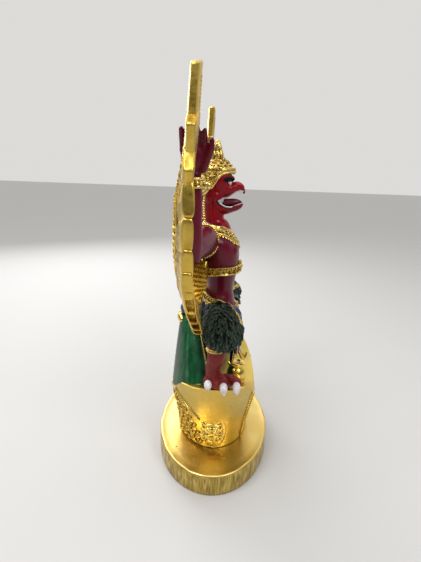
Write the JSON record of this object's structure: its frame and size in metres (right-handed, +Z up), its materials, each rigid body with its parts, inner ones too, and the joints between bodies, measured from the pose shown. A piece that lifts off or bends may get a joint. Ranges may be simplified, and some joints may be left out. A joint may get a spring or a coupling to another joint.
{
  "type": "garuda statue",
  "caption": "Standing Garuda with raised hands and spread feathered wings, on a boat-shaped pedestal with raised ends and an oval disc",
  "frame": {"origin": "middle of the disc's underside, on the surface that the statue stands on", "axes": "+Z up; the figure faces -Y; +X is the figure's left, and the statue is symmetric about X = 0"},
  "size_m": [0.2182, 0.104, 0.3206],
  "materials": {
    "figure_paint": "glossy dark red enamel over cast metal, with satin gold wings and jewellery and dark green feathers",
    "pedestal_gold": "satin gold, brighter on raised relief",
    "disc_gold": "satin gold, file marks round the edge"
  },
  "bodies": {
    "root": {"garuda_figure": "figure_paint", "crescent_pedestal": "pedestal_gold", "base_disc": "disc_gold"}
  },
  "joints": []
}
